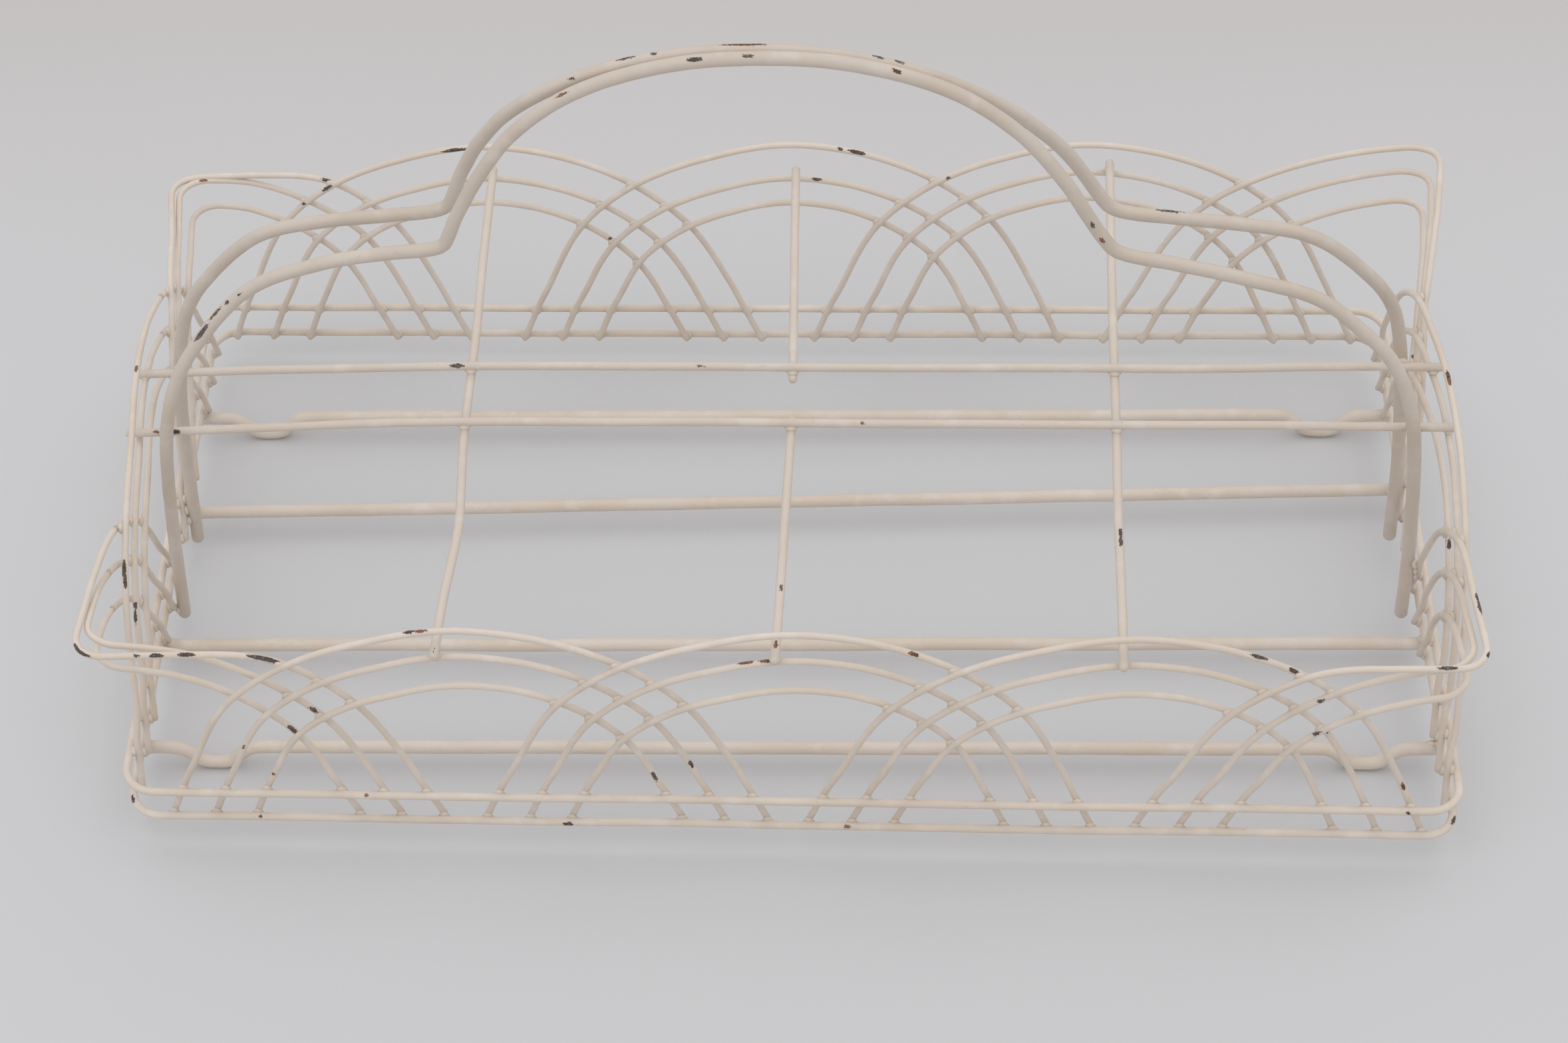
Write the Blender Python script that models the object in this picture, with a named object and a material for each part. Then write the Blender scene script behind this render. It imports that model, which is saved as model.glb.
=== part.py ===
"""Wire dish drying rack with a carrying handle: fifty bent wires, welded where they cross.

Metres, +Z up, +X along the rack, the feet at Z = 0.
"""

import math

import bpy
from mathutils import Vector

for old in list(bpy.data.objects):
    bpy.data.objects.remove(old, do_unlink=True)

# Wire gauges (diameters).
ROD = 0.0046  # handle hoops and base wires
RING_WIRE = 0.0028
RAIL_WIRE = 0.0030
CROSS_WIRE = 0.0031
ARCH_WIRE = 0.0023
WELD_GAP = 0.0003  # left between wires that are welded together

# Scalloped wall: twelve families of three nested arches, one family to a pitch and one on each corner.
ARCH_PITCH = 0.109
ARCHES_LONG = 3  # whole families on the front and on the back
ARCHES_DEEP = 1  # and on each side
WALL_DEPTH = 0.229
CORNER_RADIUS = 0.008
ARCH_SIZES = {  # half-width at the lower ring as a share of the wall's pitch, height above the ring
    "outer": (0.920, 0.0956),
    "middle": (0.787, 0.0829),
    "inner": (0.658, 0.0684),
}
ARCH_SHAPE = (  # half of an arch, foot to top: share of the half-width, share of the height
    (1.0, 0.0), (0.9, 0.272), (0.755, 0.60), (0.55, 0.81), (0.3, 0.94), (0.0, 1.0),
)  # fmt: skip
TWIST_SHARE = 0.28  # of the half-width, where an arch passes from its outer layer to its inner one
SIDE_LEAN = 0.026  # how far the side walls lean out for each metre of height
FRONT_LEAN = 0.022  # and the front and the back
CORNER_SPLAY = 0.005  # how far the top of a corner's arches leans out, in X and in Y
SPLAY_SPAN = 0.032
RING_SPACING = 0.013

# Base wires and feet.
BASE_WIRE_Y = 0.034
FOOT_WIRE_Y = 0.080
FOOT_INSET = 0.022
FOOT_HALF_WIDTH = 0.0115
FOOT_DROP = 0.008
FOOT_SHAPE = (  # from one side to the middle: share of the half-width, share of the drop
    (1.4, 0.0), (1.0, 0.09), (0.72, 0.45), (0.5, 0.84), (0.22, 1.0),
)  # fmt: skip
BASE_OVERHANG = 0.0004

# Handle: half of a hoop, foot to top, as a share of the foot's X and the height above the lower ring.
HOOP_INSET = 0.003
HOOP_SHAPE = (
    (1.0, -0.0045), (0.991, 0.040), (0.970, 0.080), (0.9465, 0.104), (0.8975, 0.126),
    (0.816, 0.1430), (0.698, 0.1520), (0.581, 0.1565), (0.521, 0.1592), (0.491, 0.1660),
    (0.449, 0.1830), (0.377, 0.2045), (0.279, 0.2215), (0.1535, 0.2325), (0.0, 0.2362),
)  # fmt: skip
HOOP_NOTCH_Z = 0.160
HOOP_Y_LOW = 0.0183
HOOP_Y_NOTCH = 0.0100
BACK_HOOP_DROP = 0.0025  # the back hoop's top sits this much lower than the front's

# Rails and cross wires.
RAIL_OVERHANG = 0.0022
CROSS_OVERHANG = 0.0040
CROSS_END_PAST_RAIL = 0.0045

LONG_HALF = ARCH_PITCH * (ARCHES_LONG + 1) / 2
DEEP_HALF = WALL_DEPTH / 2
SIDE_PITCH = WALL_DEPTH / (ARCHES_DEEP + 1)
FOOT_X = LONG_HALF - FOOT_INSET
LAYER = (ARCH_WIRE + WELD_GAP) / 2
RING_OUT = ARCH_WIRE / 2 + WELD_GAP + RING_WIRE / 2
CLEAR_LOW = RING_SPACING + RING_WIRE  # the arches lie flat on the rings below this, and in two layers above
CLEAR_HIGH = 2 * CLEAR_LOW - RING_WIRE

FOOT_RUN = FOOT_HALF_WIDTH * (FOOT_SHAPE[-2][0] - FOOT_SHAPE[-1][0])
FOOT_SLOPE = math.atan2(FOOT_DROP * (1 - FOOT_SHAPE[-2][1]), FOOT_RUN)
FOOT_FACE = ROD / 2 * math.cos(math.pi / 8) * math.cos(FOOT_SLOPE / 2)  # a foot's axis to its flat face
BASE_Z = FOOT_FACE + FOOT_DROP
RING_Z = BASE_Z + ROD / 2 + WELD_GAP + RING_WIRE / 2
ARCH_FOOT_Z = RING_Z - RING_WIRE / 2
MIDDLE_TOP_Z = RING_Z + ARCH_SIZES["middle"][1]
RAIL_Y = HOOP_Y_LOW - ROD / 2 - WELD_GAP - RAIL_WIRE / 2


def smooth(share):
    share = min(max(share, 0.0), 1.0)
    return share * share * (3 - 2 * share)


def curve_through(points, steps):
    """A smooth curve through the points, with this many steps between each two of them."""
    found = []
    for index in range(len(points) - 1):
        start, end = Vector(points[index]), Vector(points[index + 1])
        before = Vector(points[index - 1]) if index else start * 2 - end
        after = Vector(points[index + 2]) if index + 2 < len(points) else end * 2 - start
        span = (end - start).length
        leaving = (end - before) * span / ((end - start).length + (start - before).length)
        arriving = (after - start) * span / ((after - end).length + (end - start).length)
        for step in range(steps):
            t = step / steps
            found.append(
                start * (2 * t**3 - 3 * t**2 + 1)
                + leaving * (t**3 - 2 * t**2 + t)
                + end * (3 * t**2 - 2 * t**3)
                + arriving * (t**3 - t**2)
            )
    return found + [Vector(points[-1])]


def mirrored(half):
    """The whole of a curve from its right half, which ends in the middle."""
    return [(-across, up) for across, up in half] + list(half[-2::-1])


def arch_profile(name):
    """(share of the half-width, height above the lower ring) from the left foot to the right foot."""
    height = ARCH_SIZES[name][1]
    return [(p.x, p.y * height) for p in curve_through(mirrored(ARCH_SHAPE), 2)]


def arch_height(name, share):
    profile = arch_profile(name)
    for (left, low), (right, high) in zip(profile, profile[1:]):
        if left <= share <= right:
            return low + (high - low) * (share - left) / (right - left)
    return 0.0


# Where the rails rest on the side walls' middle arches.
RAIL_SHARE = RAIL_Y / (SIDE_PITCH * ARCH_SIZES["middle"][0])
RAIL_REST = RING_Z + arch_height("middle", RAIL_SHARE)
RAIL_Z = RAIL_REST + ARCH_WIRE / 2 + WELD_GAP + RAIL_WIRE / 2


def lean_out(facing, z):
    """How far the walls stand out at a height above the lower ring."""
    return Vector((facing.x * SIDE_LEAN, facing.y * FRONT_LEAN, 0.0)) * max(z, 0.0)


def wall_frame(along):
    """(point at Z = 0, outward direction) on the wall, at a distance round it from the front's middle."""
    walls = (
        (LONG_HALF, Vector((1, 0, 0)), Vector((0, -1, 0)), DEEP_HALF),
        (DEEP_HALF, Vector((0, 1, 0)), Vector((1, 0, 0)), LONG_HALF),
        (LONG_HALF, Vector((-1, 0, 0)), Vector((0, 1, 0)), DEEP_HALF),
        (DEEP_HALF, Vector((0, -1, 0)), Vector((-1, 0, 0)), LONG_HALF),
    )
    round_it = 4 * (LONG_HALF + DEEP_HALF)
    along = (along + LONG_HALF) % round_it - LONG_HALF
    index, start = 0, 0.0
    while along > start + walls[index][0] and index < 3:
        start += walls[index][0] + walls[index + 1][0]
        index += 1
    half, right, out, reach = walls[index]
    across = along - start
    to_corner = half - abs(across)
    if to_corner >= CORNER_RADIUS:
        return right * across + out * reach, out
    turn = math.copysign(math.radians(45) * (1 - to_corner / CORNER_RADIUS), across)
    centre = right * math.copysign(half - CORNER_RADIUS, across)
    centre += out * (reach - CORNER_RADIUS)
    facing = out * math.cos(turn) + right * math.sin(turn)
    return centre + facing * CORNER_RADIUS, facing


def arch_path(name, centre):
    """Points and outward directions of one arch, its left leg in the outer layer."""
    profile = arch_profile(name)
    profile[0] = (profile[0][0], ARCH_FOOT_Z - RING_Z)
    profile[-1] = (profile[-1][0], ARCH_FOOT_Z - RING_Z)
    left, right = (ARCH_SIZES[name][0] * pitch for pitch in pitches_beside(centre))
    tip = None
    if on_corner(centre):
        bend = [CORNER_RADIUS / left * share for share in (-1, -0.5, 0, 0.5, 1)]
        profile = [step for step in profile if abs(step[0]) > -1.3 * bend[0]]
        middle = len(profile) // 2
        profile[middle:middle] = [(share, arch_height(name, share)) for share in bend]
        corner, _ = wall_frame(centre)
        tip = Vector((math.copysign(1, corner.x), math.copysign(1, corner.y)))
    points, hints = [], []
    for share, z in profile:
        across = share * (left if share < 0 else right)
        place, out = wall_frame(centre + across)
        clear_of_ring = smooth((z - CLEAR_LOW) / (CLEAR_HIGH - CLEAR_LOW))
        side = -min(max(share / TWIST_SHARE, -1.0), 1.0)
        place = place + out * LAYER * side * clear_of_ring + lean_out(out, z)
        if tip:
            place.xy += tip * CORNER_SPLAY * smooth(1 - abs(across) / SPLAY_SPAN)
        points.append(Vector((place.x, place.y, RING_Z + z)))
        hints.append(out)
    return points, hints


def pitches_beside(centre):
    """The pitch of the wall just left of a place on the way round, and of the wall just right of it."""
    pitches = []
    for beside in (-2 * CORNER_RADIUS, 2 * CORNER_RADIUS):
        _, out = wall_frame(centre + beside)
        pitches.append(SIDE_PITCH if abs(out.x) > abs(out.y) else ARCH_PITCH)
    return pitches


def on_corner(centre):
    left, right = (wall_frame(centre + beside)[1] for beside in (-CORNER_RADIUS, CORNER_RADIUS))
    return left.dot(right) < 0.5


def ring_path(height):
    """One ring, at a height above the lower one, outside the arches."""
    points = []
    for right, up in ((1, -1), (1, 1), (-1, 1), (-1, -1)):
        start = math.degrees(math.atan2(up, right)) - 45
        for step in range(5):
            angle = math.radians(start + 22.5 * step)
            reach = CORNER_RADIUS + RING_OUT
            x = right * (LONG_HALF - CORNER_RADIUS) + reach * math.cos(angle)
            y = up * (DEEP_HALF - CORNER_RADIUS) + reach * math.sin(angle)
            lean = lean_out(Vector((right, up, 0)), height)
            points.append(Vector((x, y, RING_Z + height)) + lean)
    return points


def foot_wire_path(y):
    end = LONG_HALF + RING_OUT + BASE_OVERHANG
    half = [(FOOT_X - FOOT_HALF_WIDTH * shoulder, drop) for shoulder, drop in FOOT_SHAPE]
    half += [(FOOT_X + FOOT_HALF_WIDTH * shoulder, drop) for shoulder, drop in reversed(FOOT_SHAPE)]
    half.append((end, 0.0))
    right = [Vector((x, y, BASE_Z - FOOT_DROP * drop)) for x, drop in half]
    left = [Vector((-p.x, p.y, p.z)) for p in reversed(right)]
    return left + right


def hoop_path(side):
    """The hoops stand upright to the rails, then lean together to touch at the top."""
    drop = BACK_HOOP_DROP if side > 0 else 0.0
    top = HOOP_SHAPE[-1][1]
    rail = RAIL_Z - RING_Z + RAIL_WIRE
    touching = math.sqrt((ROD + WELD_GAP) ** 2 - BACK_HOOP_DROP**2) / 2
    points = []
    for share, z in curve_through(mirrored(HOOP_SHAPE), 3):
        lean = smooth((z - rail) / (HOOP_NOTCH_Z - rail))
        close = smooth((z - HOOP_NOTCH_Z) / (top - HOOP_NOTCH_Z))
        y = HOOP_Y_LOW + (HOOP_Y_NOTCH - HOOP_Y_LOW) * lean + (touching - HOOP_Y_NOTCH) * close
        x = (LONG_HALF - HOOP_INSET) * share
        points.append(Vector((x, side * y, RING_Z + z - drop * close)))
    return points


def cross_path(x, start, end):
    """A wire that rests on the middle arches at the front and back and sags under the rails."""
    high = MIDDLE_TOP_Z + ARCH_WIRE / 2 + WELD_GAP + CROSS_WIRE / 2
    low = RAIL_Z - RAIL_WIRE / 2 - WELD_GAP - CROSS_WIRE / 2
    stops = [start]
    for y in (-0.105, -0.080, -0.055, -0.030, 0.030, 0.055, 0.080, 0.105):
        if start < y < end:
            stops.append(y)
    stops.append(end)
    points = []
    for y in stops:
        droop = smooth((0.105 - abs(y)) / 0.075)
        points.append(Vector((x, y, high + (low - high) * droop)))
    return points


def wire(name, points, diameter, hints, sides=8, closed=False):
    """A tube along the points. Each hint gives the direction that one flat of the tube faces."""
    count = len(points)
    corners = []
    for index, point in enumerate(points):
        before = points[index - 1] if closed or index else point
        after = points[(index + 1) % count] if closed or index < count - 1 else point
        forward = ((after - point).normalized() + (point - before).normalized()).normalized()
        hint = hints[index] if isinstance(hints, list) else hints
        flat = (hint - forward * hint.dot(forward)).normalized()
        other = forward.cross(flat)
        for side in range(sides):
            angle = 2 * math.pi * (side + 0.5) / sides
            corners.append(point + (flat * math.cos(angle) + other * math.sin(angle)) * diameter / 2)
    faces = []
    for index in range(count if closed else count - 1):
        here, there = index * sides, (index + 1) % count * sides
        for side in range(sides):
            turned = (side + 1) % sides
            faces.append((here + side, here + turned, there + turned, there + side))
    if not closed:
        faces.append(tuple(reversed(range(sides))))
        faces.append(tuple(range((count - 1) * sides, count * sides)))
    mesh = bpy.data.meshes.new(name)
    mesh.from_pydata(corners, [], faces)
    paint = bpy.data.materials.new(name + "_paint")
    paint.use_nodes = True
    shader = paint.node_tree.nodes["Principled BSDF"]
    shader.inputs["Base Color"].default_value = (0.80, 0.72, 0.61, 1)
    shader.inputs["Roughness"].default_value = 0.45
    mesh.materials.append(paint)
    node = bpy.data.objects.new(name, mesh)
    bpy.context.scene.collection.objects.link(node)
    return node


UP, BACK = Vector((0, 0, 1)), Vector((0, 1, 0))

wire("lower_ring", ring_path(0.0), RING_WIRE, UP, closed=True)
wire("upper_ring", ring_path(RING_SPACING), RING_WIRE, UP, closed=True)

CORNER, SIDE = LONG_HALF, LONG_HALF + DEEP_HALF
FAR_CORNER, BACK_MIDDLE = LONG_HALF + 2 * DEEP_HALF, 2 * (LONG_HALF + DEEP_HALF)
families = {
    "front_left": -ARCH_PITCH,
    "front_middle": 0.0,
    "front_right": ARCH_PITCH,
    "corner_front_right": CORNER,
    "side_right": SIDE,
    "corner_back_right": FAR_CORNER,
    "back_right": BACK_MIDDLE - ARCH_PITCH,
    "back_middle": BACK_MIDDLE,
    "back_left": BACK_MIDDLE + ARCH_PITCH,
    "corner_back_left": BACK_MIDDLE + CORNER,
    "side_left": BACK_MIDDLE + SIDE,
    "corner_front_left": BACK_MIDDLE + FAR_CORNER,
}
for family, centre in families.items():
    for size in ARCH_SIZES:
        points, hints = arch_path(size, centre)
        wire(f"arch_{family}_{size}", points, ARCH_WIRE, hints, sides=6)

base_end = LONG_HALF + RING_OUT + BASE_OVERHANG
for side, place in ((-1, "front"), (1, "back")):
    wire(f"foot_wire_{place}", foot_wire_path(side * FOOT_WIRE_Y), ROD, BACK)
    ends = [Vector((x, side * BASE_WIRE_Y, BASE_Z)) for x in (-base_end, base_end)]
    wire(f"base_wire_{place}", ends, ROD, BACK)
    wire(f"handle_hoop_{place}", hoop_path(side), ROD, BACK)
    reach = LONG_HALF + SIDE_LEAN * (RAIL_Z - RING_Z) + RAIL_OVERHANG
    ends = [Vector((x, side * RAIL_Y, RAIL_Z)) for x in (-reach, reach)]
    wire(f"rail_{place}", ends, RAIL_WIRE, BACK)

outside = DEEP_HALF + CROSS_OVERHANG
inside = RAIL_Y - CROSS_END_PAST_RAIL
crosses = {
    "cross_wire_left": (-ARCH_PITCH, -outside, outside),
    "cross_wire_middle_front": (0.0, -outside, -inside),
    "cross_wire_middle_back": (0.0, inside, outside),
    "cross_wire_right": (ARCH_PITCH, -outside, outside),
}
for name, (x, start, end) in crosses.items():
    wire(name, cross_path(x, start, end), CROSS_WIRE, UP)
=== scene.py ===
import math

import bpy
import numpy as np
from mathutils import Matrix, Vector, kdtree, noise


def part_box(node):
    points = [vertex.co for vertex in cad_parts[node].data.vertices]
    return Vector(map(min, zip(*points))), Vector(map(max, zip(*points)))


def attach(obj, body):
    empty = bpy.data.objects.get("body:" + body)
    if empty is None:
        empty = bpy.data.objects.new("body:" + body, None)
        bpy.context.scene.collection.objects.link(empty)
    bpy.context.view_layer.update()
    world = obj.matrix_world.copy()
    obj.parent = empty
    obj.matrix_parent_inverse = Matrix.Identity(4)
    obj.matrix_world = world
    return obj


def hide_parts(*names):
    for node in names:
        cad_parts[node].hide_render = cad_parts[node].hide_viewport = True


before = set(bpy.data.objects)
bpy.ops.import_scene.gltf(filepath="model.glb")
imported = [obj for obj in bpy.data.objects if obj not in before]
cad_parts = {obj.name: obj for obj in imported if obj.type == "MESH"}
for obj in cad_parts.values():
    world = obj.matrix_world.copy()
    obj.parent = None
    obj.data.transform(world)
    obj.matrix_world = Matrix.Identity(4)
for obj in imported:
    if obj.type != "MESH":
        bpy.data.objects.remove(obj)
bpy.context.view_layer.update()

print("frame loaded:", len(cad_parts), "nodes")

# a long lens a little over a metre away, looking down on the front of the rack
camera = {
    "place": (0.0312, -0.8195, 0.9243),
    "turn": (44.0, 3.2, 3.64),
    "lens": 78.61,
    "sensor": 36.0,
    "shiftX": 0.1270,
    "shiftY": -0.0461,
}


def makeCamera():
    data = bpy.data.cameras.new("camera")
    data.sensor_width = camera["sensor"]
    data.lens = camera["lens"]
    data.shift_x = camera["shiftX"]
    data.shift_y = camera["shiftY"]
    data.clip_start = 0.01
    eye = bpy.data.objects.new("camera", data)
    eye.location = camera["place"]
    eye.rotation_euler = [math.radians(angle) for angle in camera["turn"]]
    bpy.context.scene.collection.objects.link(eye)
    bpy.context.scene.camera = eye


makeCamera()
print("camera made")


class Value:
    def __init__(self, kit, socket):
        self.kit = kit
        self.socket = socket

    def maths(self, operation, *values):
        return self.kit.add("Math", {"operation": operation}, dict(enumerate(values)))

    def __add__(self, other):
        return self.maths("ADD", self, other)

    def __radd__(self, other):
        return self.maths("ADD", other, self)

    def __sub__(self, other):
        return self.maths("SUBTRACT", self, other)

    def __rsub__(self, other):
        return self.maths("SUBTRACT", other, self)

    def __mul__(self, other):
        return self.maths("MULTIPLY", self, other)

    def __rmul__(self, other):
        return self.maths("MULTIPLY", other, self)

    def over(self, low, high):
        # 0 below low, 1 above high, smooth between them
        settings = {"interpolation_type": "SMOOTHSTEP"}
        return self.kit.add("MapRange", settings, {"Value": self, "From Min": low, "From Max": high})

    def atMost(self, limit):
        return self.maths("MINIMUM", self, limit)

    def atLeast(self, limit):
        return self.maths("MAXIMUM", self, limit)


class Kit:
    # writes one material's nodes
    def __init__(self, name):
        self.material = bpy.data.materials.new(name)
        self.material.use_nodes = True
        self.tree = self.material.node_tree
        self.shader = self.tree.nodes["Principled BSDF"]

    def add(self, kind, settings={}, sockets={}, output=0):
        node = self.tree.nodes.new("ShaderNode" + kind)
        for key, value in settings.items():
            setattr(node, key, value)
        for key, value in sockets.items():
            self.feed(node.inputs[key], value)
        return Value(self, node.outputs[output])

    def feed(self, socket, value):
        if isinstance(value, Value):
            self.tree.links.new(value.socket, socket)
        elif isinstance(value, tuple) and len(value) == 3 and socket.type == "RGBA":
            socket.default_value = (*value, 1)
        else:
            socket.default_value = value

    def mix(self, share, first, second):
        # the Mix node's colour sockets have no names of their own, only these numbers
        return self.add("Mix", {"data_type": "RGBA"}, {0: share, 6: first, 7: second}, output=2)

    def noise(self, place, scale, detail=2.0, rough=0.5):
        sockets = {"Vector": place, "Scale": scale, "Detail": detail, "Roughness": rough}
        return self.add("TexNoise", {}, sockets)

    def attribute(self, name):
        return self.add("Attribute", {"attribute_name": name}, {}, output=2)

    def bump(self, height, distance, strength=1.0, onto=None):
        sockets = {"Height": height, "Distance": distance, "Strength": strength}
        if onto:
            sockets["Normal"] = onto
        return self.add("Bump", {}, sockets)

    def set(self, **values):
        for key, value in values.items():
            self.feed(self.shader.inputs[key.replace("_", " ")], value)


# paint: thick cream enamel, brushed or dipped, yellowed a little, chipped to dark steel, with brown rust
paint = {
    "cream": (0.675, 0.588, 0.505),
    "warm": (0.62, 0.525, 0.425),
    "pale": (0.72, 0.655, 0.585),
    "grime": (0.36, 0.295, 0.235),
    "steel": (0.072, 0.061, 0.056),
    "steelLight": (0.19, 0.165, 0.15),
    "rust": (0.115, 0.045, 0.024),
    "rustLight": (0.27, 0.135, 0.075),
    "roughness": 0.50,
    "coat": 0.05,
    "coatRoughness": 0.25,
    "lumps": 180,  # noise scales
    "peel": 900,
}


def makePaint(name, warmth, shade=1.0):
    # warmth is how much of it has yellowed, shade darkens it all
    cream, warm, pale = (tuple(part * shade for part in paint[key]) for key in ("cream", "warm", "pale"))
    kit = Kit(name)
    place = kit.add("TexCoord", {}, {}, output=3)
    wear = kit.attribute("wear")
    rust = kit.attribute("rust")
    grime = kit.attribute("grime")
    broad = kit.noise(place, 22, 3, 0.6)
    patch = kit.noise(place, 95, 3, 0.6)
    fine = kit.noise(place, 620, 4, 0.65)
    edge = kit.noise(place, 1700, 3, 0.65)
    ragged = wear + (fine - 0.5) * 1.1 + (edge - 0.5) * 1.5
    chip = ragged.over(0.50, 0.56)
    rim = ragged.over(0.36, 0.50) - chip
    stain = (rust + (fine - 0.5) * 1.1 + (edge - 0.5) * 1.4).over(0.44, 0.66)
    speck = (edge + (patch - 0.5) * 0.30).over(0.735, 0.775)
    body = kit.mix(broad.over(0.36, 0.68) * warmth, cream, warm)
    body = kit.mix(patch.over(0.50, 0.72) * 0.55, body, pale)
    dirt = (grime * patch.over(0.30, 0.62)).atMost(1.0) * 0.22 + fine.over(0.58, 0.78) * 0.10
    body = kit.mix(dirt, body, paint["grime"])
    body = kit.mix(speck * 0.55, body, paint["grime"])
    body = kit.mix(rim.atLeast(0.0) * 0.35, body, paint["rustLight"])
    oxide = kit.mix(fine.over(0.35, 0.65), paint["rust"], paint["rustLight"])
    body = kit.mix(stain, body, oxide)
    metal = kit.mix(fine.over(0.42, 0.70), paint["steel"], paint["steelLight"])
    metal = kit.mix(patch.over(0.50, 0.66) * 0.75, metal, paint["rust"])
    colour = kit.mix(chip, body, metal)
    peel = kit.bump(kit.noise(place, paint["peel"], 2, 0.5), 0.00006, 0.55)
    lumps = kit.bump(kit.noise(place, paint["lumps"], 3, 0.55), 0.00035, 0.75, peel)
    step = kit.bump(1 - chip - 0.35 * stain, 0.00022, 0.9, lumps)
    roughness = paint["roughness"] + (patch - 0.5) * 0.22 + chip * 0.20 + stain * 0.32
    kit.set(Base_Color=colour, Roughness=roughness, Metallic=chip * 0.35, Normal=step)
    kit.set(Coat_Weight=paint["coat"], Coat_Roughness=paint["coatRoughness"])
    return kit.material


paints = {
    "arch_paint": makePaint("arch_enamel", 0.75),
    "ring_paint": makePaint("ring_enamel", 0.85),
    "handle_paint": makePaint("handle_enamel", 0.95, 0.87),
    "divider_paint": makePaint("divider_enamel", 0.55, 0.94),
    "base_paint": makePaint("base_enamel", 0.85),
}
print("enamels mixed")

# the rack's driving sizes, in metres
rack = {
    "pitch": 0.109,
    "depth": 0.229,
    "corner": 0.008,
    "sideLean": 0.026,
    "frontLean": 0.022,
    "skew": 0.0137,
    "gap": 0.0003,
    "ringSpacing": 0.013,
    "feet": 0.008,
}
gauge = {"rod": 0.0046, "ring": 0.0028, "rail": 0.0030, "cross": 0.0031, "arch": 0.0023}
arches = {
    "sizes": {"outer": (0.920, 0.0956), "middle": (0.787, 0.0829), "inner": (0.658, 0.0684)},
    "shape": ((1.0, 0.0), (0.9, 0.272), (0.755, 0.60), (0.55, 0.81), (0.3, 0.94), (0.0, 1.0)),
    "twist": 0.28,  # share of its half width in which an arch changes from the outer layer to the inner
    "loose": 0.062,  # how far from the corner a bent tip still shows
    "press": 0.006,  # how softly a pressed tip turns level
    "slideFade": 0.035,  # a slide dies out within this of a corner
}
longHalf = rack["pitch"] * 2
deepHalf = rack["depth"] / 2
layer = (gauge["arch"] + rack["gap"]) / 2
ringOut = gauge["arch"] / 2 + rack["gap"] + gauge["ring"] / 2
baseEnd = longHalf + ringOut + 0.0004  # the base and foot wires stop just past the ring's middle


def middleOf(node):
    low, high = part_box(node)
    return (Vector(low) + Vector(high)) / 2


ringZ = middleOf("lower_ring").z
baseZ = middleOf("base_wire_front").z
baseY = abs(middleOf("base_wire_front").y)
railZ = middleOf("rail_front").z
railY = abs(middleOf("rail_front").y)


def smooth(share):
    share = min(max(share, 0.0), 1.0)
    return share * share * (3 - 2 * share)


def curveThrough(points, steps):
    # a smooth line through the points, each stretch cut into steps
    found = []
    points = [Vector(point) for point in points]
    for index in range(len(points) - 1):
        start, end = points[index], points[index + 1]
        before = points[index - 1] if index else start * 2 - end
        after = points[index + 2] if index + 2 < len(points) else end * 2 - start
        span = (end - start).length
        leaving = (end - before) * span / (span + (start - before).length)
        arriving = (after - start) * span / ((after - end).length + span)
        for step in range(steps):
            t = step / steps
            found.append(
                start * (2 * t**3 - 3 * t**2 + 1)
                + leaving * (t**3 - 2 * t**2 + t)
                + end * (3 * t**2 - 2 * t**3)
                + arriving * (t**3 - t**2)
            )
    return found + [points[-1]]


def mirrored(half):
    # a half outline, listed from its foot to its top, made whole
    return [(-across, up) for across, up in half] + list(half[-2::-1])


def wallFrame(along):
    # the place on the wall at a distance round it from the front's middle, and the way out
    walls = (
        (longHalf, Vector((1, 0, 0)), Vector((0, -1, 0)), deepHalf),
        (deepHalf, Vector((0, 1, 0)), Vector((1, 0, 0)), longHalf),
        (longHalf, Vector((-1, 0, 0)), Vector((0, 1, 0)), deepHalf),
        (deepHalf, Vector((0, -1, 0)), Vector((-1, 0, 0)), longHalf),
    )
    roundIt = 4 * (longHalf + deepHalf)
    along = (along + longHalf) % roundIt - longHalf
    index, start = 0, 0.0
    while along > start + walls[index][0] and index < 3:
        start += walls[index][0] + walls[index + 1][0]
        index += 1
    half, right, out, reach = walls[index]
    across = along - start
    toCorner = half - abs(across)
    if toCorner >= rack["corner"]:
        return right * across + out * reach, out
    turn = math.copysign(math.radians(45) * (1 - toCorner / rack["corner"]), across)
    centre = right * math.copysign(half - rack["corner"], across) + out * (reach - rack["corner"])
    facing = out * math.cos(turn) + right * math.sin(turn)
    return centre + facing * rack["corner"], facing


def leanOut(facing, z):
    # how far a wall that faces this way has leant out at a height above the lower ring
    return Vector((facing.x * rack["sideLean"], facing.y * rack["frontLean"], 0)) * max(z, 0.0)


def softMin(first, second, blend):
    # the lower of two heights, rounded off where they meet
    near = max(blend - abs(first - second), 0.0) / blend
    return min(first, second) - near * near * blend / 4


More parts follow.
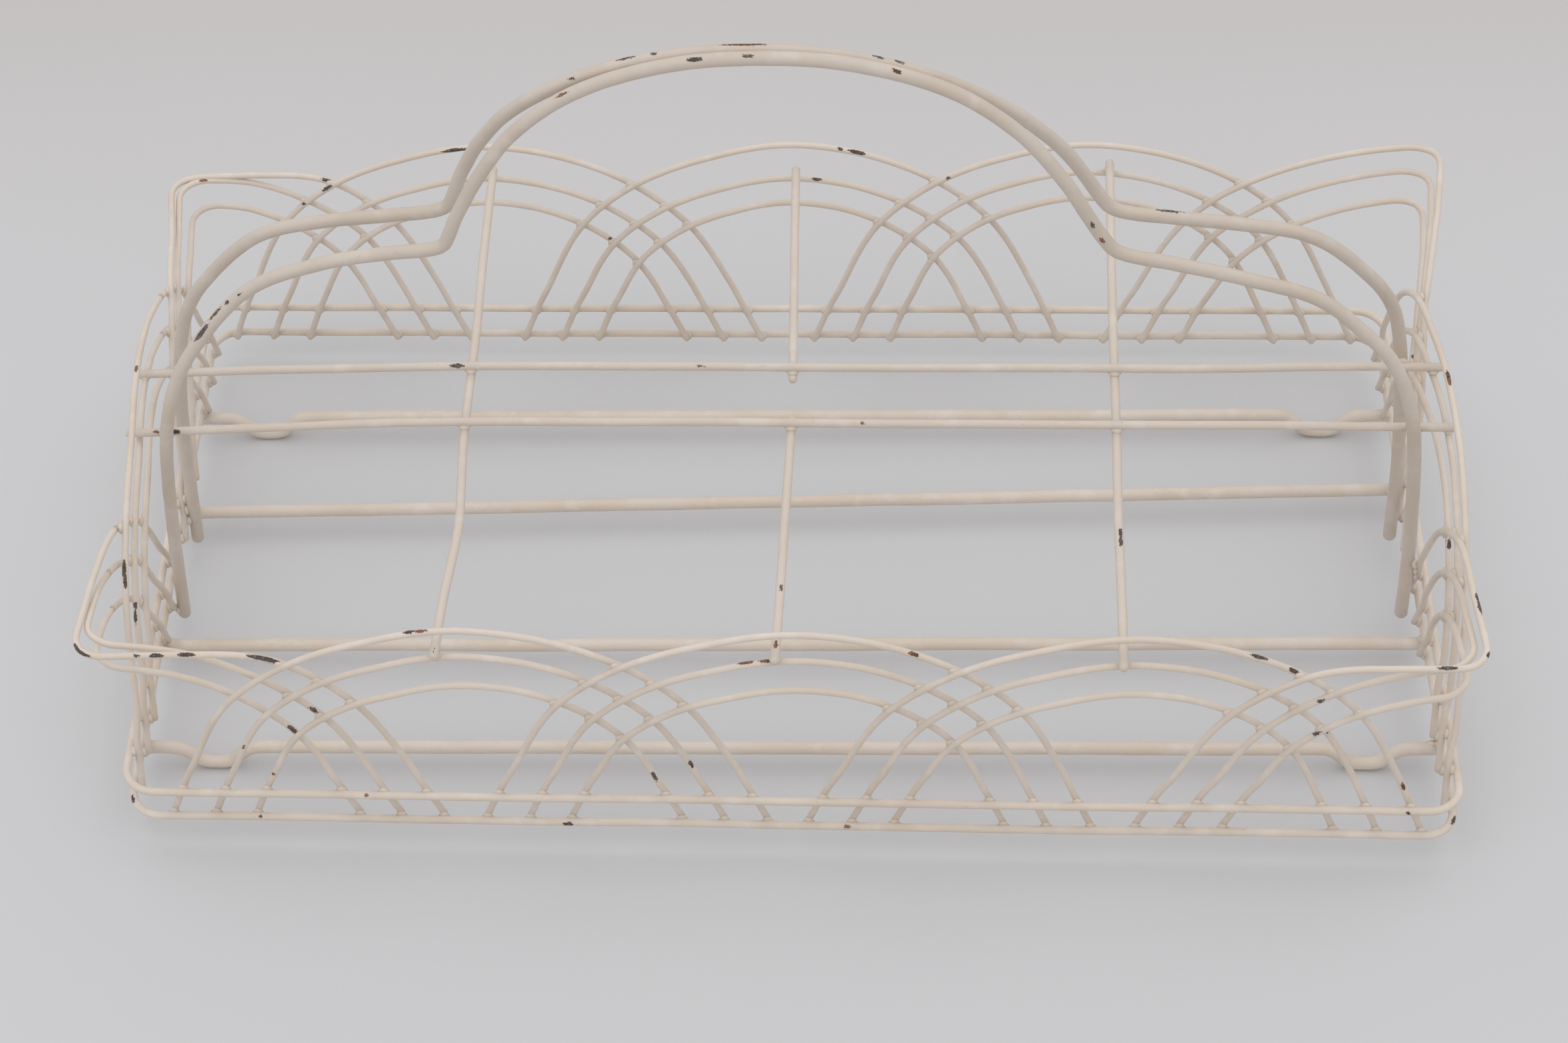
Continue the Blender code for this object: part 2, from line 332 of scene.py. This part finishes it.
# what years of use have bent: how far a family has slid along the front or the back, how far its top tilts
# that way and its first legs spread, and how much an arch has risen; for each arch on a corner, how far its
# tip has been pushed out in X and in Y and the height it has been pressed down to
bent = {
    "front_left": {"slide": 0.0037},
    "front_middle": {"slide": 0.0016},
    "front_right": {"slide": 0.0001},
    "back_right": {"slide": -0.0012, "tilt": 0.0034, "rise": {"inner": 0.0025}},
    "back_middle": {"slide": 0.0003, "legs": -0.0020, "rise": {"middle": -0.0030}},
    "back_left": {
        "slide": 0.0029,
        "tilt": 0.0008,
        "legs": -0.0018,
        "rise": {"outer": -0.0008, "middle": -0.0030},
    },
    "side_right": {"slide": 0.0},
    "side_left": {"slide": 0.0},
    "corner_front_right": {
        "slide": -0.0012,
        "outer": (0.0010, 0.0010, 0.0845),
        "middle": (-0.0025, -0.0018, 0.0829),
        "inner": (-0.0022, -0.0022, 0.0690),
    },
    "corner_back_right": {
        "slide": -0.0007,
        "rise": {"outer": 0.0012, "middle": 0.0026, "inner": 0.0030},
        "outer": (0.0120, 0.0005, 0.0960),
        "middle": (0.0100, 0.0, 0.0860),
        "inner": (0.0090, 0.0005, 0.0720),
    },
    "corner_back_left": {
        "slide": 0.0034,
        "outer": (0.0060, -0.0005, 0.0805),
        "middle": (0.0028, -0.0012, 0.0800),
        "inner": (0.0, -0.0006, 0.0690),
    },
    "corner_front_left": {
        "slide": 0.0043,
        "outer": (0.0075, 0.0012, 0.0822),
        "middle": (0.0045, -0.0055, 0.0822),
        "inner": (0.0045, -0.0078, 0.0675),
    },
}


def archPath(family, size, centre):
    share, height = arches["sizes"][size]
    habit = bent[family]
    height += habit.get("rise", {}).get(size, 0.0)
    facings = [wallFrame(centre + beside * rack["corner"])[1] for beside in (-2, 2)]
    left, right = (share * (deepHalf if abs(out.x) > abs(out.y) else rack["pitch"]) for out in facings)
    cornered = facings[0].dot(facings[1]) < 0.5
    points = []
    profile = [(p.x, p.y) for p in curveThrough(mirrored(arches["shape"]), 14)]
    for across, up in profile:
        z = up * height
        along = across * (left if across < 0 else right)
        slide = habit["slide"] + habit.get("tilt", 0.0) * up
        if across < 0:
            slide += habit.get("legs", 0.0) * smooth(1 - up)
        if cornered:
            z = softMin(z, habit[size][2], arches["press"])
            onLong = abs(wallFrame(centre + math.copysign(arches["slideFade"], across))[1].y) > 0.5
            slide *= smooth(abs(along) / arches["slideFade"]) if onLong else 0.0
        z = max(z, -gauge["ring"] / 2)
        place, out = wallFrame(centre + along + slide)
        low = rack["ringSpacing"] + gauge["ring"]
        clear = smooth((z - low) / rack["ringSpacing"])
        side = -min(max(across / arches["twist"], -1.0), 1.0)
        place = place + out * layer * side * clear + leanOut(out, z)
        if cornered:
            corner, _ = wallFrame(centre)
            loose = max(1 - abs(along) / arches["loose"], 0.0)
            place.x += math.copysign(1, corner.x) * habit[size][0] * loose
            place.y += math.copysign(1, corner.y) * habit[size][1] * loose
        points.append(Vector((place.x, place.y, ringZ + z)))
    return points


def ringPath(height):
    points = []
    reach = rack["corner"] + ringOut
    for right, up in ((1, -1), (1, 1), (-1, 1), (-1, -1)):
        start = math.degrees(math.atan2(up, right)) - 45
        for step in range(9):
            angle = math.radians(start + 11.25 * step)
            x = right * (longHalf - rack["corner"]) + reach * math.cos(angle)
            y = up * (deepHalf - rack["corner"]) + reach * math.sin(angle)
            points.append(Vector((x, y, ringZ + height)) + leanOut(Vector((right, up, 0)), height))
    return points


# feet are U bends in the outer two base wires
foot = {
    "inset": 0.022,
    "halfWidth": 0.0115,
    "shape": ((1.5, 0.0), (1.12, 0.06), (0.8, 0.38), (0.5, 0.84), (0.2, 1.0), (0.0, 1.0)),
    "y": 0.080,
    "skew": {-1: (-0.0011, 0.0165), 1: (-0.0026, 0.0120)},
}


def footPath(side):
    middle = longHalf - foot["inset"]
    bend = [(p.x, p.y) for p in curveThrough(mirrored(foot["shape"]), 5)]
    right = [(middle + foot["halfWidth"] * across, rack["feet"] * drop) for across, drop in bend]
    right += [(baseEnd, 0.0)]
    places = [(-x, drop) for x, drop in reversed(right)] + right
    shift, turn = foot["skew"][side]
    return [Vector((x, side * foot["y"] + shift + turn * x, baseZ - drop)) for x, drop in places]


hoop = {
    "inset": 0.003,
    "shape": (
        (1.0, -0.0045), (0.991, 0.040), (0.973, 0.082), (0.947, 0.1060), (0.902, 0.1230),
        (0.810, 0.1440), (0.700, 0.1530), (0.590, 0.1575), (0.530, 0.1594), (0.500, 0.1622),
        (0.484, 0.1680), (0.467, 0.1760), (0.430, 0.1903), (0.367, 0.2070), (0.267, 0.2222),
        (0.130, 0.2320), (0.0, 0.2345),
    ),
    "notch": 0.160,  # heights above the lower ring: the notch, and where the hoops start to close up
    "touch": 0.172,
    "yLow": 0.0183,
    "yNotch": 0.0100,
    "backDrop": 0.0008,
    "shift": -0.0024,  # the bow sits off centre, more so at its top, and the hoops aren't quite alike
    "shiftRise": (0.148, 0.030),
    "topShift": {-1: -0.0015, 1: -0.0040},
    "topShiftRise": (0.165, 0.060),
    "sag": {-1: ((-0.0045, 0.162), (0.0019, -0.128)), 1: ((0.0032, 0.183), (0.0036, -0.178))},
    "sagWide": 0.036,
    "sagFrom": {-1: 0.115, 1: 0.085},
    "sagTo": 0.158,
}
drift = {"middle": 0.0020, "left": -0.00975, "from": 0.085, "over": 0.22}


def rise(value, start, over):
    # 0 up to start, 1 a little further on
    return smooth((value - start) / over)


def railDrift(x):
    # the rails and the hoops' legs are pulled towards the front at their left ends
    return drift["middle"] + drift["left"] * rise(-x, drift["from"], drift["over"])


def hoopPath(side):
    drop = hoop["backDrop"] if side > 0 else 0.0
    top = hoop["shape"][-1][1]
    rail = railZ - ringZ + gauge["rail"]
    touching = math.sqrt(gauge["rod"] ** 2 - hoop["backDrop"] ** 2) / 2
    points = []
    for across, z in curveThrough(mirrored(hoop["shape"]), 10):
        lean = rise(z, rail, hoop["notch"] - rail)
        close = rise(z, hoop["touch"], top - hoop["touch"])
        y = hoop["yLow"] + (hoop["yNotch"] - hoop["yLow"]) * lean + (touching - hoop["yNotch"]) * close
        x = (longHalf - hoop["inset"]) * across
        shift = hoop["shift"] * rise(z, *hoop["shiftRise"])
        shift += hoop["topShift"][side] * rise(z, *hoop["topShiftRise"])
        sag = sum(deep * math.exp(-(((x - at) / hoop["sagWide"]) ** 2)) for deep, at in hoop["sag"][side])
        sag *= rise(z, hoop["sagFrom"][side], 0.020) * (1 - rise(z, hoop["sagTo"], 0.008))
        y = side * y + railDrift(x) * (1 - lean)
        points.append(Vector((x + shift, y, ringZ + z + sag - drop * close)))
    return points


cross = {
    "steps": 40,
    "droop": (0.030, 0.075),  # from the rails out to the walls it climbs between these distances
    "bulgeAt": -0.062,
    "bulgeWide": 0.03,
}


def crossPath(x, start, end, lean=0.0, bulge=0.0):
    # lies on the walls' middle arches at its ends and under the rails between them
    high = ringZ + arches["sizes"]["middle"][1] + (gauge["arch"] + gauge["cross"]) / 2
    low = railZ - (gauge["rail"] + gauge["cross"]) / 2
    points = []
    for step in range(cross["steps"] + 1):
        y = start + (end - start) * step / cross["steps"]
        climb = rise(abs(y), *cross["droop"])
        bow = bulge * math.exp(-(((y - cross["bulgeAt"]) / cross["bulgeWide"]) ** 2))
        points.append(Vector((x + lean * y + bow, y, low + (high - low) * climb)))
    return points


# every wire by name: its points, gauge, material slot and whether it closes on itself
wires = {}


def addWire(name, points, diameter, slot, closed=False):
    skewed = [Vector((p.x - rack["skew"] * p.y, p.y, p.z)) for p in points]
    wires[name] = {"points": skewed, "radius": diameter / 2, "slot": slot, "closed": closed}


addWire("lower_ring", ringPath(0.0), gauge["ring"], "ring_paint", True)
addWire("upper_ring", ringPath(rack["ringSpacing"]), gauge["ring"], "ring_paint", True)
sideAt, farCorner = longHalf + deepHalf, longHalf + 2 * deepHalf
backMiddle = 2 * (longHalf + deepHalf)
families = {
    "front_left": -rack["pitch"],
    "front_middle": 0.0,
    "front_right": rack["pitch"],
    "corner_front_right": longHalf,
    "side_right": sideAt,
    "corner_back_right": farCorner,
    "back_right": backMiddle - rack["pitch"],
    "back_middle": backMiddle,
    "back_left": backMiddle + rack["pitch"],
    "corner_back_left": backMiddle + longHalf,
    "side_left": backMiddle + sideAt,
    "corner_front_left": backMiddle + farCorner,
}
for family, centre in families.items():
    for size in arches["sizes"]:
        addWire(f"arch_{family}_{size}", archPath(family, size, centre), gauge["arch"], "arch_paint")

shelf = {
    "base": {-1: (-0.0006, 0.0168), 1: (0.0, 0.0377)},  # each base wire's shift and how much it turns
    "railOver": 0.0022,
    "railBow": -0.0016,  # the back rail bends forward between its ends
    "railEnds": (0.14, 0.06),
    "crossOver": 0.0040,
    "crossPast": 0.0045,
}
railEnd = longHalf + rack["sideLean"] * (railZ - ringZ) + shelf["railOver"]
for side, place in ((-1, "front"), (1, "back")):
    addWire(f"foot_wire_{place}", footPath(side), gauge["rod"], "base_paint")
    shift, turn = shelf["base"][side]
    ends = [Vector((x, side * baseY + shift + turn * x, baseZ)) for x in (-baseEnd, 0, baseEnd)]
    addWire(f"base_wire_{place}", ends, gauge["rod"], "base_paint")
    addWire(f"handle_hoop_{place}", hoopPath(side), gauge["rod"], "handle_paint")
    line = []
    for step in range(21):
        x = railEnd * (step / 10 - 1)
        bow = shelf["railBow"] * (1 - rise(abs(x), *shelf["railEnds"])) if side > 0 else 0.0
        line.append(Vector((x, side * railY + railDrift(x) + bow, railZ)))
    addWire(f"rail_{place}", line, gauge["rail"], "divider_paint")
outside, inside = deepHalf + shelf["crossOver"], railY - shelf["crossPast"]
# each cross wire: its X at the middle, where it starts and ends in Y, how it leans, and its bulge
crosses = {
    "cross_wire_left": (0.0012 - rack["pitch"], -outside, outside - 0.004, 0.014, 0.0026),
    "cross_wire_middle_front": (0.0036, -outside, 0.002 - inside, 0.040),
    "cross_wire_middle_back": (0.0035, inside + 0.002, outside - 0.004, 0.004),
    "cross_wire_right": (rack["pitch"] + 0.0032, -outside - 0.001, outside, 0.037),
}
for name, settings in crosses.items():
    addWire(name, crossPath(*settings), gauge["cross"], "divider_paint")
print("wires routed:", len(wires))

# chips to bare steel: share along the wire, length in metres, degrees round it from the upper front, depth;
# a fifth word marks the ones that are brown with rust
chips = {
    "arch_corner_front_left_outer": [
        (0.492, 0.011, 20, 1.0), (0.553, 0.003, 0, 0.8), (0.573, 0.007, 5, 1.0),
        (0.604, 0.008, 0, 1.05), (0.684, 0.015, -10, 1.3), (0.701, 0.006, 25, 1.15),
    ],
    "arch_side_left_outer": [(0.742, 0.008, 10, 1.2), (0.755, 0.006, -10, 0.9), (0.5, 0.006, 0, 0.8, "rust")],
    "arch_side_left_middle": [(0.790, 0.004, 0, 0.9), (0.806, 0.006, 15, 1.0)],
    "lower_ring": [
        (0.677, 0.005, 10, 1.1), (0.712, 0.002, 0, 0.8), (0.790, 0.006, 30, 1.0),
        (0.009, 0.005, 20, 0.9), (0.86, 0.004, 0, 0.8, "rust"),
    ],
    "upper_ring": [(0.996, 0.003, 30, 0.8), (0.74, 0.003, 0, 0.8, "rust")],
    "arch_corner_front_left_inner": [(0.789, 0.007, 0, 1.0)],
    "arch_corner_front_left_middle": [(0.775, 0.005, 10, 1.0)],
    "arch_front_left_middle": [(0.155, 0.003, 0, 0.9, "rust"), (0.884, 0.006, -20, 0.95)],
    "arch_front_left_outer": [(0.463, 0.005, -40, 1.05), (0.475, 0.006, -30, 0.9, "rust")],
    "arch_front_left_inner": [(0.889, 0.006, 0, 0.9), (0.11, 0.004, 0, 0.8, "rust")],
    "arch_front_middle_outer": [(0.64, 0.006, 0, 1.0, "rust"), (0.642, 0.003, 0, 0.9)],
    "arch_front_middle_middle": [(0.455, 0.008, -50, 1.0, "rust"), (0.481, 0.008, -30, 0.95, "rust")],
    "arch_front_right_outer": [
        (0.638, 0.009, -30, 1.0), (0.681, 0.005, 0, 1.1), (0.92, 0.005, 0, 1.1, "rust"),
    ],
    "arch_front_right_middle": [(0.79, 0.003, 0, 0.9)],
    "arch_corner_front_right_outer": [
        (0.584, 0.005, 30, 1.0), (0.571, 0.008, 40, 1.1), (0.506, 0.004, 30, 1.0), (0.458, 0.010, -20, 0.85),
    ],
    "arch_corner_front_right_middle": [(0.31, 0.005, 20, 0.85)],
    "arch_corner_front_right_inner": [(0.271, 0.004, 0, 0.9)],
    "arch_side_right_outer": [(0.495, 0.010, 0, 1.0, "rust"), (0.50, 0.004, 0, 0.8)],
    "arch_side_right_inner": [(0.309, 0.005, 0, 1.0)],
    "arch_back_left_outer": [(0.527, 0.013, -40, 1.0), (0.70, 0.006, 0, 1.0), (0.74, 0.003, 0, 0.8)],
    "arch_back_left_middle": [(0.318, 0.003, 0, 0.9), (0.209, 0.003, 0, 0.8)],
    "arch_back_left_inner": [(0.324, 0.003, 0, 0.8), (0.269, 0.003, 0, 0.8)],
    "arch_back_middle_outer": [(0.434, 0.003, 0, 1.0), (0.414, 0.009, 0, 1.2)],
    "arch_back_middle_middle": [(0.457, 0.004, 0, 1.0)],
    "arch_back_right_outer": [(0.673, 0.003, -20, 0.7)],
    "arch_corner_back_left_outer": [(0.313, 0.006, 0, 1.0)],
    "arch_corner_back_left_middle": [(0.47, 0.004, 0, 0.9, "rust")],
    "arch_corner_back_right_inner": [(0.223, 0.003, 0, 0.8)],
    "handle_hoop_front": [
        (0.187, 0.012, -15, 1.15), (0.199, 0.010, -30, 0.68), (0.207, 0.004, -20, 0.8),
        (0.215, 0.003, 0, 0.75),
        (0.411, 0.008, -20, 0.75, "rust"), (0.470, 0.0075, -5, 1.1), (0.492, 0.0035, -10, 0.95),
        (0.5543, 0.0050, -10, 0.85), (0.670, 0.004, 20, 0.9), (0.680, 0.005, 30, 0.9, "rust"),
    ],
    "handle_hoop_back": [
        (0.112, 0.005, 10, 0.95), (0.416, 0.004, 0, 0.7), (0.441, 0.010, -50, 0.70),
        (0.4535, 0.0030, -35, 0.9),
        (0.490, 0.022, -52, 0.9, "rust"), (0.496, 0.006, -64, 0.75), (0.546, 0.006, -48, 0.75),
        (0.555, 0.007, -48, 0.7), (0.712, 0.014, -50, 0.75),
    ],
    "rail_front": [(0.036, 0.006, 10, 1.1), (0.022, 0.004, 0, 0.8, "rust"), (0.56, 0.003, 0, 0.8, "rust")],
    "rail_back": [(0.248, 0.006, 0, 1.15), (0.437, 0.003, 0, 0.9)],
    "cross_wire_right": [(0.246, 0.004, 15, 1.0), (0.228, 0.006, 15, 1.1)],
    "cross_wire_middle_front": [(0.05, 0.005, 0, 1.0, "rust"), (0.27, 0.003, 10, 1.0)],
    "cross_wire_left": [(0.004, 0.0025, 0, 0.9)],
}


def evenly(points, step, closed):
    # the same line with its points a step apart
    line = np.array([tuple(p) for p in points])
    if closed:
        line = np.vstack([line, line[:1]])
    lengths = np.linalg.norm(np.diff(line, axis=0), axis=1)
    reach = np.concatenate([[0], np.cumsum(lengths)])
    count = max(int(round(reach[-1] / step)), 4)
    stops = np.linspace(0, reach[-1], count + 1)
    if closed:
        stops = stops[:-1]
    return np.stack([np.interp(stops, reach, line[:, axis]) for axis in range(3)], 1), reach[-1]


def wobble(line, amount, size, seed):
    # hand-bent wire wanders by a fraction of a millimetre
    moved = line.copy()
    for index, point in enumerate(line):
        shift = noise.noise_vector(Vector(point) / size + Vector((seed * 13.7, seed * 5.1, 0)))
        moved[index] += np.array(shift) * amount
    return moved


skin = {
    "sides": 14,
    "rodSides": 22,
    "step": 0.0017,
    "lumps": 0.035,  # share of the radius
    "lumpScale": 160,
    "wander": 0.00035,
    "wanderSize": 0.045,
    "wanderSeed": 3,
    "noiseSeed": 1795117717,  # unseeded, Blender's noise vectors come from the clock and change each run
    "up": (0.0, -0.65, 0.76),  # chips are turned from this side of the wire
    "ends": ((0.62, 0.78), (0.93, 0.42)),  # a cut end is rounded: how far out, and how wide
    "endLong": 0.7,
    "chipWide": 0.0009,
    "chipLong": 0.42,
}


def alongWire(line, closed):
    # which way the wire runs at each point, and two directions square to it
    forward = np.roll(line, -1, 0) - np.roll(line, 1, 0) if closed else np.gradient(line, axis=0)
    forward /= np.linalg.norm(forward, axis=1)[:, None]
    hint = np.array(skin["up"])
    flat = hint - forward * (forward @ hint)[:, None]
    flat /= np.linalg.norm(flat, axis=1)[:, None] + 1e-9
    for index in range(1, len(line)):  # carry the frame along where the hint fails
        if abs(forward[index] @ hint) > 0.93:
            carried = flat[index - 1] - forward[index] * (forward[index] @ flat[index - 1])
            flat[index] = carried / np.linalg.norm(carried)
    return forward, flat, np.cross(forward, flat)


def damage(marks, along, degrees, reach):
    # how bare and how rusty a spot is, from the chips round it
    worn, red = 0.0, 0.0
    for at, size, turn, strength, *kind in marks:
        off = (along - at) / size
        swing = abs((degrees - turn + 180) % 360 - 180) / reach
        value = strength * max(0.0, 1.25 - off**2 - swing**2)
        if kind:
            red = max(red, value)
        else:
            worn = max(worn, value)
    return worn, red


def tubeFaces(rows, sides, closed):
    faces = []
    for row in range(rows if closed else rows - 1):
        here, there = row * sides, (row + 1) % rows * sides
        for side in range(sides):
            turned = (side + 1) % sides
            faces.append((here + side, here + turned, there + turned, there + side))
    if not closed:
        faces.append(tuple(reversed(range(sides))))
        faces.append(tuple(range((rows - 1) * sides, rows * sides)))
    return faces


def addPiece(name, vertices, faces, slot, marks):
    # marks are the values at each vertex that the paint reads: wear, rust and grime
    mesh = bpy.data.meshes.new(name)
    mesh.from_pydata([tuple(v) for v in vertices], [], faces)
    mesh.polygons.foreach_set("use_smooth", [True] * len(mesh.polygons))
    for key, values in marks.items():
        mesh.attributes.new(key, "FLOAT", "POINT").data.foreach_set("value", values)
    mesh.materials.append(paints[slot])
    piece = bpy.data.objects.new(name, mesh)
    bpy.context.scene.collection.objects.link(piece)
    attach(piece, "root")
    return piece


def buildWire(name, wire, seed):
    line, length = evenly(wire["points"], skin["step"], wire["closed"])
    line = wobble(line, skin["wander"], skin["wanderSize"], skin["wanderSeed"])
    forward, flat, other = alongWire(line, wire["closed"])
    wire["line"], wire["forward"] = line, forward
    count, radius = len(line), wire["radius"]
    sides = skin["rodSides"] if radius == gauge["rod"] / 2 else skin["sides"]
    reach = math.degrees(skin["chipWide"] / radius)
    marks = [(at, long * skin["chipLong"] / length, *rest) for at, long, *rest in chips.get(name, [])]
    spans = [(index, 0.0, 1.0) for index in range(count)]
    if not wire["closed"]:
        ends = [(out * radius * skin["endLong"], wide) for out, wide in skin["ends"]]
        spans = [(0, -out, wide) for out, wide in reversed(ends)] + spans
        spans += [(count - 1, out, wide) for out, wide in ends]
    vertices, wear, rust = [], [], []
    for index, ahead, wide in spans:
        middle = line[index] + forward[index] * ahead
        along = index / max(count - 1, 1)
        for side in range(sides):
            angle = 2 * math.pi * side / sides
            way = flat[index] * math.cos(angle) + other[index] * math.sin(angle)
            place = Vector(middle + way * radius) * skin["lumpScale"]
            lump = noise.noise(place + Vector((seed, 0, 0)))
            vertices.append(middle + way * (radius * wide * (1 + skin["lumps"] * lump)))
            worn, red = damage(marks, along, math.degrees(angle), reach)
            wear.append(worn)
            rust.append(red)
    faces = tubeFaces(len(spans), sides, wire["closed"])
    values = {"wear": wear, "rust": rust, "grime": [0.0] * len(vertices)}
    wire["piece"] = addPiece(name + "_wire", vertices, faces, wire["slot"], values)
    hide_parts(name)


noise.seed_set(skin["noiseSeed"])
for seed, (name, wire) in enumerate(wires.items()):
    buildWire(name, wire, seed)
print("wires drawn")

# welds: where two wires cross, paint has run into the corners between them
weld = {
    "reach": 0.0011,  # the widest gap that a weld bridges
    "apart": 0.0065,
    "wide": 1.30,
    "tall": 0.62,
    "extra": 0.00035,
    "corners": 0.22,
    "lumps": 0.06,
    "rounds": 7,
    "sides": 12,
    "beside": 0.3,  # wires that run nearly side by side get none
    "slack": 0.0007,
    "slide": 0.002,
    "grime": 0.6,
    "grimeReach": 0.0045,
}


def findCrossings():
    entries = []
    for name, wire in wires.items():
        entries += [(name, index) for index in range(len(wire["line"]))]
    tree = kdtree.KDTree(len(entries))
    for number, (name, index) in enumerate(entries):
        tree.insert(wires[name]["line"][index], number)
    tree.balance()
    near = {}
    for number, (name, index) in enumerate(entries):
        point = wires[name]["line"][index]
        for _, found, distance in tree.find_range(point, gauge["rod"] + weld["reach"] + 0.001):
            other, there = entries[found]
            if other <= name:
                continue
            touch = wires[name]["radius"] + wires[other]["radius"] + weld["reach"]
            if distance < touch + weld["slack"]:
                near.setdefault((name, other), []).append((distance, index, there))
    crossings = []
    for pair, hits in near.items():
        taken = []
        for distance, here, there in sorted(hits):
            spot = wires[pair[0]]["line"][here]
            if all(np.linalg.norm(spot - other) > weld["apart"] for other in taken):
                taken.append(spot)
                crossings.append((pair, here, there))
    return crossings


def closest(first, second, here, there):
    # nearest points of the two wires' tangent lines
    p, u = first["line"][here], first["forward"][here]
    q, v = second["line"][there], second["forward"][there]
    along = float(u @ v)
    if 1 - along * along < 0.02:
        return p, q
    gap = q - p
    s = (gap @ u - (gap @ v) * along) / (1 - along * along)
    t = ((gap @ u) * along - gap @ v) / (1 - along * along)
    s, t = (max(min(far, weld["slide"]), -weld["slide"]) for far in (s, t))
    return p + u * s, q + v * t


def addBead(number, first, second, here, there, vertices, faces):
    # one lump of paint over a crossing; gives its middle, or nothing where the wires don't meet
    p, q = closest(first, second, here, there)
    gap = q - p
    distance = np.linalg.norm(gap)
    if distance > first["radius"] + second["radius"] + weld["reach"] or distance < 1e-6:
        return None
    normal = gap / distance
    middle = p + normal * (first["radius"] + (distance - first["radius"] - second["radius"]) / 2)
    u = first["forward"][here] - normal * (first["forward"][here] @ normal)
    u /= np.linalg.norm(u)
    w = np.cross(normal, u)
    v = second["forward"][there]
    turn = math.atan2(v @ w, v @ u)
    if abs(math.sin(turn)) < weld["beside"]:
        return None
    small = min(first["radius"], second["radius"])
    wide = small * weld["wide"] + weld["extra"]
    tall = small * weld["tall"] + weld["extra"]
    base = len(vertices)
    rounds, sides = weld["rounds"], weld["sides"]
    vertices.append(middle - normal * tall)
    for row in range(1, rounds):
        polar = math.pi * row / rounds
        for side in range(sides):
            angle = 2 * math.pi * side / sides
            corner = abs(math.sin(2 * (angle - turn / 2)))  # widest in the corners between the wires
            reach = wide * (0.92 + weld["corners"] * corner) * math.sin(polar)
            reach *= 1 + weld["lumps"] * noise.noise(Vector((number, side * 0.9, row * 1.1)))
            offset = (u * math.cos(angle) + w * math.sin(angle)) * reach
            vertices.append(middle + offset - normal * tall * math.cos(polar))
    vertices.append(middle + normal * tall)
    last = len(vertices) - 1
    for side in range(sides):
        turned = (side + 1) % sides
        faces.append((base, base + 1 + turned, base + 1 + side))
        faces.append((last, last - sides + side, last - sides + turned))
        for row in range(rounds - 2):
            a, b = base + 1 + row * sides, base + 1 + (row + 1) * sides
            faces.append((a + side, a + turned, b + turned, b + side))
    return middle


def buildWelds():
    vertices, faces, joints = [], [], []
    for number, (pair, here, there) in enumerate(findCrossings()):
        first, second = wires[pair[0]], wires[pair[1]]
        joint = addBead(number, first, second, here, there, vertices, faces)
        if joint is not None:
            joints.append(joint)
    blank = [0.0] * len(vertices)
    values = {"wear": blank, "rust": blank, "grime": [weld["grime"]] * len(vertices)}
    addPiece("weld_beads", vertices, faces, "arch_paint", values)
    return joints


joints = buildWelds()
print("weld beads:", len(joints))

# dirt gathers on the wires beside each weld
for wire in wires.values():
    mesh = wire["piece"].data
    places = np.empty(len(mesh.vertices) * 3)
    mesh.vertices.foreach_get("co", places)
    places = places.reshape(-1, 3)
    nearest = np.full(len(places), 1.0)
    for joint in joints:
        nearest = np.minimum(nearest, np.linalg.norm(places - joint, axis=1))
    dirt = np.clip(1.25 - nearest / weld["grimeReach"], 0, 1)
    mesh.attributes["grime"].data.foreach_set("value", dirt)
print("dirt added")

# floor: a pale sheet of paper, with painted shade that turns it warmer and darker towards the back, where the
# light falls off
floorLook = {
    "pale": (0.580, 0.580, 0.586),
    "shade": (0.562, 0.560, 0.563),
    # far is a painted shade colour, blended in from farFrom to farTo towards the back
    "far": (0.440, 0.375, 0.335),
    "farFrom": 0.05,
    "farTo": 0.75,
    "size": 5.0,
}


def makeFloor():
    size = floorLook["size"]
    mesh = bpy.data.meshes.new("floor")
    corners = [(-size, -size, 0), (size, -size, 0), (size, size, 0), (-size, size, 0)]
    mesh.from_pydata(corners, [], [(0, 1, 2, 3)])
    kit = Kit("paper")
    place = kit.add("TexCoord", {}, {}, output=3)
    cloud = kit.noise(place, 2.2, 2, 0.5)
    grain = kit.noise(place, 900, 2, 0.5)
    paper = kit.mix(cloud.over(0.35, 0.65) * 0.5, floorLook["pale"], floorLook["shade"])
    # painted shade: the paper is darkened towards the back to stand in for the light falling off
    backShade = kit.add("SeparateXYZ", {}, {"Vector": place}, output=1)
    backShade = backShade.over(floorLook["farFrom"], floorLook["farTo"])
    kit.set(Base_Color=kit.mix(backShade, paper, floorLook["far"]), Roughness=0.75)
    kit.set(Normal=kit.bump(grain, 0.00004, 0.4))
    mesh.materials.append(kit.material)
    floor = bpy.data.objects.new("floor", mesh)
    bpy.context.scene.collection.objects.link(floor)


makeFloor()

# light: one wide soft source overhead, a little to the right, a weaker one from the left, a pale surround
lights = {
    "key": {"place": (0.35, 0.05, 2.0), "size": 2.8, "power": 11.5, "colour": (1.0, 0.985, 0.965)},
    "fill": {"place": (-1.3, -0.9, 1.6), "size": 1.8, "power": 4.0, "colour": (0.97, 0.98, 1.0)},
}
surround = {"colour": (0.97, 0.975, 1.0), "strength": 0.86}


def makeLights():
    for name, light in lights.items():
        data = bpy.data.lights.new(name, "AREA")
        data.size = light["size"]
        data.energy = light["power"]
        data.color = light["colour"]
        lamp = bpy.data.objects.new(name, data)
        lamp.location = light["place"]
        aim = Vector((0, 0, 0.05)) - Vector(light["place"])
        lamp.rotation_euler = aim.to_track_quat("-Z", "Y").to_euler()
        bpy.context.scene.collection.objects.link(lamp)
    world = bpy.data.worlds.new("surround")
    world.use_nodes = True
    back = world.node_tree.nodes["Background"]
    back.inputs["Color"].default_value = (*surround["colour"], 1)
    back.inputs["Strength"].default_value = surround["strength"]
    bpy.context.scene.world = world
    bpy.context.scene.view_settings.view_transform = "Standard"


makeLights()
print("stage lit")
